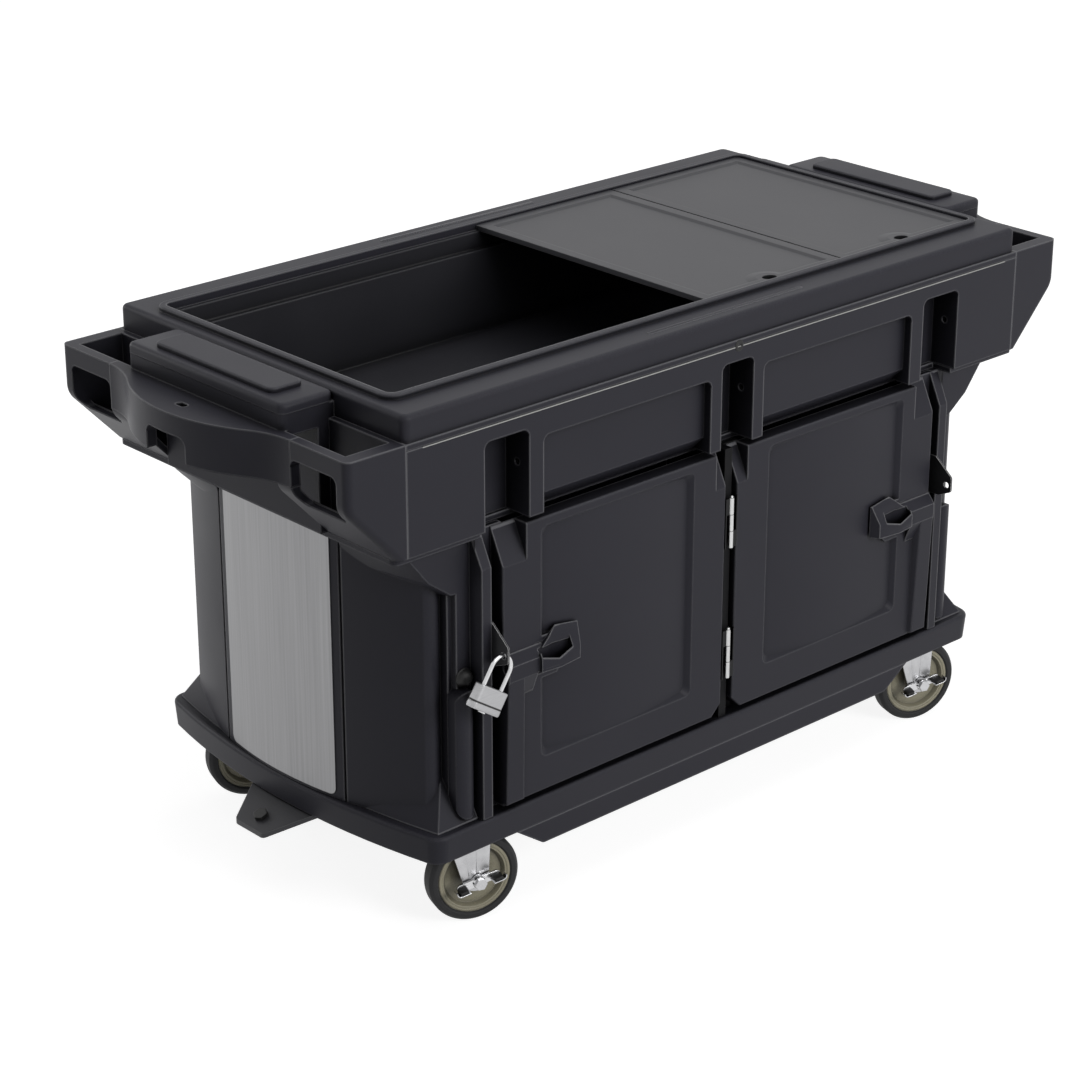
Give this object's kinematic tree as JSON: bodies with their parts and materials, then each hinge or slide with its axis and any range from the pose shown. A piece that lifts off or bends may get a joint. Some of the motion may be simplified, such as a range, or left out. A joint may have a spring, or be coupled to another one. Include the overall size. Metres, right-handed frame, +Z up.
{
  "type": "mobile food bar",
  "caption": "Wheeled food bar: insulated well with lift-off covers over a lockable two-door cabinet, corner bins, end handles, tow tongue and swivel casters.",
  "frame": {"origin": "on the floor, under the middle of the overall box", "axes": "+X along the bar to the right as seen from the doors, +Y from the doors to the customer side, +Z up"},
  "size_m": [1.683, 0.72, 0.895],
  "materials": {
    "shell": "satin, fine moulded texture",
    "pull": "satin, fine moulded texture",
    "liner": "satin",
    "cover": "satin sheet",
    "foam": "foam",
    "end_panel": "brushed upright",
    "hinge": "satin",
    "staple": "dark, bare bright edges",
    "shackle": "polished",
    "lock": "satin",
    "bumper": "matt",
    "drain": "smooth",
    "stopper": "matt",
    "tongue": "satin black",
    "bolt": "black",
    "zinc": "bright zinc",
    "axle": "bright zinc",
    "hub": "smooth",
    "tyre": "matt",
    "pedal": "bright",
    "pedal_pad": "matt"
  },
  "bodies": {
    "cart": {"base_tray": "shell", "base_aprons": "shell", "left_pod": "shell", "right_pod": "shell", "rear_wall": "shell", "centre_post": "shell", "front_skirt": "shell", "rear_skirt": "shell", "deck": "shell", "left_handle": "shell", "right_handle": "shell", "left_front_bin": "shell", "left_rear_bin": "shell", "right_front_bin": "shell", "right_rear_bin": "shell", "under_pan": "shell", "door_jambs": "shell", "well_liner": "liner", "well_foam": "foam", "left_end_panel": "end_panel", "right_end_panel": "end_panel", "post_hinge_leaves": "hinge", "hinge_pins": "hinge", "hasp_staples": "staple", "pod_bumpers": "bumper", "drain_fitting": "drain", "tow_tongue": "tongue", "tow_bolt": "bolt", "caster_plates": "zinc"},
    "left_door": {"left_door": "shell", "left_pull": "pull", "left_hinge_leaves": "hinge"},
    "right_door": {"right_door": "shell", "right_pull": "pull", "right_hinge_leaves": "hinge"},
    "left_cover": {"left_cover": "cover"},
    "right_cover": {"right_cover": "cover"},
    "stopper": {"drain_stopper": "stopper"},
    "lock_shackle": {"padlock_shackle": "shackle"},
    "lock_body": {"padlock_body": "lock"},
    "left_front_swivel": {"left_front_fork": "zinc", "left_front_axle": "axle"},
    "left_front_wheel": {"left_front_hub": "hub", "left_front_tyre": "tyre"},
    "left_front_brake": {"left_front_pedal": "pedal", "left_front_pedal_pads": "pedal_pad"},
    "right_front_swivel": {"right_front_fork": "zinc", "right_front_axle": "axle"},
    "right_front_wheel": {"right_front_hub": "hub", "right_front_tyre": "tyre"},
    "right_front_brake": {"right_front_pedal": "pedal", "right_front_pedal_pads": "pedal_pad"},
    "left_rear_swivel": {"left_rear_fork": "zinc", "left_rear_axle": "axle"},
    "left_rear_wheel": {"left_rear_hub": "hub", "left_rear_tyre": "tyre"},
    "right_rear_swivel": {"right_rear_fork": "zinc", "right_rear_axle": "axle"},
    "right_rear_wheel": {"right_rear_hub": "hub", "right_rear_tyre": "tyre"}
  },
  "joints": [
    {"name": "left_door_hinge", "type": "hinge", "parent": "cart", "child": "left_door", "pos_m": [0, -0.327, 0.432], "axis": [0, 0, 1], "range_deg": [0, 85]},
    {"name": "right_door_hinge", "type": "hinge", "parent": "cart", "child": "right_door", "pos_m": [0, -0.327, 0.432], "axis": [0, 0, 1], "range_deg": [-85, 0]},
    {"name": "left_cover_lift", "type": "slide", "parent": "cart", "child": "left_cover", "axis": [0, 0, 1], "range_m": [0, 0.25]},
    {"name": "right_cover_lift", "type": "slide", "parent": "cart", "child": "right_cover", "axis": [0, 0, 1], "range_m": [0, 0.25]},
    {"name": "stopper_lift", "type": "slide", "parent": "cart", "child": "stopper", "axis": [0, 0, 1], "range_m": [0, 0.25]},
    {"name": "shackle_swing", "type": "hinge", "parent": "cart", "child": "lock_shackle", "pos_m": [-0.5035, -0.3495, 0.4725], "axis": [1, 0, 0], "range_deg": [-40, 8]},
    {"name": "lock_release", "type": "slide", "parent": "lock_shackle", "child": "lock_body", "axis": [-0.5519, 0, -0.8339], "range_m": [0, 0.012]},
    {"name": "left_front_swivel", "type": "hinge", "parent": "cart", "child": "left_front_swivel", "pos_m": [-0.52, -0.269, 0.15], "axis": [0, 0, 1], "continuous": true},
    {"name": "left_front_spin", "type": "hinge", "parent": "left_front_swivel", "child": "left_front_wheel", "pos_m": [-0.50669, -0.27333, 0.075], "axis": [0.309, 0.9511, 0], "continuous": true},
    {"name": "left_front_brake_pedal", "type": "hinge", "parent": "left_front_swivel", "child": "left_front_brake", "pos_m": [-0.50669, -0.27333, 0.075], "axis": [0.309, 0.9511, 0], "range_deg": [0, 24]},
    {"name": "right_front_swivel", "type": "hinge", "parent": "cart", "child": "right_front_swivel", "pos_m": [0.52, -0.269, 0.15], "axis": [0, 0, 1], "continuous": true},
    {"name": "right_front_spin", "type": "hinge", "parent": "right_front_swivel", "child": "right_front_wheel", "pos_m": [0.53331, -0.27333, 0.075], "axis": [0.309, 0.9511, 0], "continuous": true},
    {"name": "right_front_brake_pedal", "type": "hinge", "parent": "right_front_swivel", "child": "right_front_brake", "pos_m": [0.53331, -0.27333, 0.075], "axis": [0.309, 0.9511, 0], "range_deg": [0, 24]},
    {"name": "left_rear_swivel", "type": "hinge", "parent": "cart", "child": "left_rear_swivel", "pos_m": [-0.52, 0.295, 0.15], "axis": [0, 0, 1], "continuous": true},
    {"name": "left_rear_spin", "type": "hinge", "parent": "left_rear_swivel", "child": "left_rear_wheel", "pos_m": [-0.50669, 0.29067, 0.075], "axis": [0.309, 0.9511, 0], "continuous": true},
    {"name": "right_rear_swivel", "type": "hinge", "parent": "cart", "child": "right_rear_swivel", "pos_m": [0.52, 0.295, 0.15], "axis": [0, 0, 1], "continuous": true},
    {"name": "right_rear_spin", "type": "hinge", "parent": "right_rear_swivel", "child": "right_rear_wheel", "pos_m": [0.53331, 0.29067, 0.075], "axis": [0.309, 0.9511, 0], "continuous": true}
  ]
}
